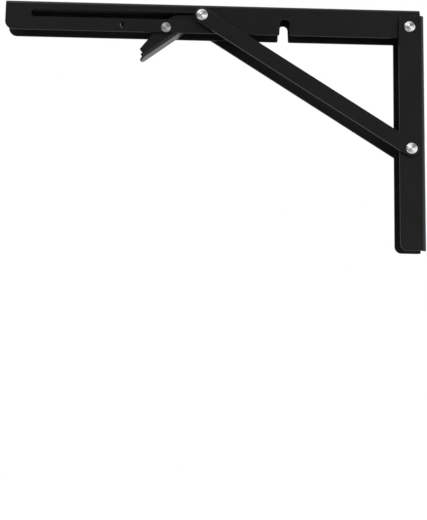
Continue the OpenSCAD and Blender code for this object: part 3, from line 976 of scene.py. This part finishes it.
def spring_points():
    """Hook, coil and second leg of the return spring, about the lever's pivot."""
    in_y = lever_high.y - LEVER_SHEET
    coil_y = -in_y + COIL_GAP + WIRE_D / 2
    hook = Vector((-HOOK_REACH, 0, HOOK_RISE))
    start = math.pi + math.atan2(-hook.z, -hook.x) - math.acos(COIL_R / hook.length)
    turn = start - (LEVER_ANGLE - math.pi / 2) + math.tau * COIL_TURNS
    points = [
        Vector((hook.x, arm_low.y + HOOK_END, hook.z)),
        Vector((hook.x, arm_low.y + SHEET + WIRE_D / 2, hook.z)),
        Vector((hook.x + WIRE_D, coil_y, hook.z)),
    ]
    steps = COIL_TURNS * COIL_STEPS
    for i in range(steps + 1):
        a = start - turn * i / steps
        y = coil_y + COIL_PITCH * turn * i / steps / math.tau
        points.append(Vector((COIL_R * math.cos(a), y, COIL_R * math.sin(a))))
    sin, cos = math.sin(LEVER_ANGLE), math.cos(LEVER_ANGLE)
    end = (-REST_LEN * cos + REST_BACK * sin, points[-1].y, -REST_LEN * sin - REST_BACK * cos)
    return [lever_pivot + p for p in points] + [lever_pivot + Vector(end)]


def wire_tree():
    """Round wire along a curve."""
    graph, given = new_tree("wire", ("Wire radius",))
    ring = graph.node("GeometryNodeCurvePrimitiveCircle", inputs={
        "Resolution": WIRE_SIDES, "Radius": given["Wire radius"]})["Curve"]
    tube = graph.node("GeometryNodeCurveToMesh", inputs={
        "Curve": given["Geometry"], "Profile Curve": ring, "Fill Caps": True})["Mesh"]
    return finish_tree(graph, tube, wire_steel)


def spring():
    """Torsion spring round the lever's pivot, built as one still piece; in the bracket its coil
    winds up as the lever turns in the arm.
    """
    points = spring_points()
    path = bpy.data.curves.new("spring_path", "CURVE")
    path.dimensions = "3D"
    spline = path.splines.new("POLY")
    spline.points.add(len(points) - 1)
    for point, place in zip(spline.points, points):
        point.co = (*place, 1)
    piece = grown("wound_spring", path, wire_tree(), {"Wire radius": WIRE_D / 2}, Matrix())
    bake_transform(piece)
    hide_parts("return_spring")


spring()

for node in frame["nodes"].values():
    if not node.hide_render:
        node.data.materials.clear()
        node.data.materials.append(zinc)


# Studio

def camera():
    """Camera at the photograph's angle and framing."""
    data = bpy.data.cameras.new("camera")
    data.sensor_width = SENSOR
    data.lens = SENSOR * FOCAL_PX / FRAME_H
    data.shift_x = (FRAME_W / 2 - CENTRE_PX[0]) / FRAME_H
    data.shift_y = (CENTRE_PX[1] - FRAME_H / 2) / FRAME_H
    eye = in_scene("camera", data)
    eye.location = CAMERA_AT
    eye.rotation_euler = [math.radians(angle) for angle in CAMERA_TURN]
    bpy.context.scene.camera = eye


def studio_world():
    """Even light, white to the camera; polished surfaces see a dim room with soft boxes."""
    world = bpy.data.worlds.new("studio")
    bpy.context.scene.world = world
    world.use_nodes = True
    world.node_tree.nodes.clear()
    graph = Graph(world.node_tree)
    toward = graph.node("ShaderNodeTexCoord")["Generated"]
    y = graph.node("ShaderNodeSeparateXYZ", inputs={"Vector": toward})["Y"]
    room = ROOM_LEVEL + (1 - ROOM_LEVEL) * graph.between(y, *BACKDROP_EDGE)
    for centre, inner, outer, level in SOFT_BOXES:
        towards_box = graph.node(
            "ShaderNodeVectorMath", {"operation": "DOT_PRODUCT"},
            {0: toward, 1: Vector(centre).normalized()})["Value"]
        rim, core = math.cos(math.radians(outer)), math.cos(math.radians(inner))
        share = graph.between(towards_box, rim, core)
        room = room + (level - room) * share
    ray = graph.node("ShaderNodeLightPath")
    glossy = ray["Is Glossy Ray"]
    level = room * glossy + (1 - glossy)
    level = level.math("MAXIMUM", level, ray["Is Camera Ray"])
    light = graph.node("ShaderNodeBackground", inputs={"Color": (1, 1, 1, 1), "Strength": level})
    graph.node("ShaderNodeOutputWorld", inputs={"Surface": light["Background"]})


def floor():
    """Pale floor under the bracket, white to the camera where no shadow falls, open from below."""
    bm = bmesh.new()
    bmesh.ops.create_circle(bm, cap_ends=True, segments=FLOOR_SIDES, radius=FLOOR_R)
    mesh = bpy.data.meshes.new("floor")
    bm.to_mesh(mesh)
    bm.free()
    material, graph, place = new_material("floor_paint")
    shade = graph.noise(place, FLOOR_SCALE)
    paint = graph.node("ShaderNodeBsdfPrincipled", inputs={
        "Base Color": graph.blend(shade, *map(grey, FLOOR_GREYS)),
        "Roughness": 0.95,
        "Specular IOR Level": 0.0,
    })
    ray = graph.node("ShaderNodeLightPath")
    camera_ray = ray["Is Camera Ray"]
    seen = camera_ray.math("MAXIMUM", camera_ray, ray["Is Transmission Ray"])
    glow = graph.node("ShaderNodeEmission", inputs={"Strength": seen * FLOOR_GLOW})
    both = graph.node("ShaderNodeAddShader", inputs={0: paint["BSDF"], 1: glow["Emission"]})
    under = graph.node("ShaderNodeNewGeometry")["Backfacing"]
    clear = graph.node("ShaderNodeBsdfTransparent")["BSDF"]
    sided = graph.node("ShaderNodeMixShader", inputs={0: under, 1: both["Shader"], 2: clear})
    graph.node("ShaderNodeOutputMaterial", inputs={"Surface": sided["Shader"]})
    mesh.materials.append(material)
    mesh.transform(Matrix.Translation(FLOOR_AT))
    in_scene("floor", mesh)


camera()
studio_world()
floor()
bpy.context.scene.view_settings.view_transform = "Standard"
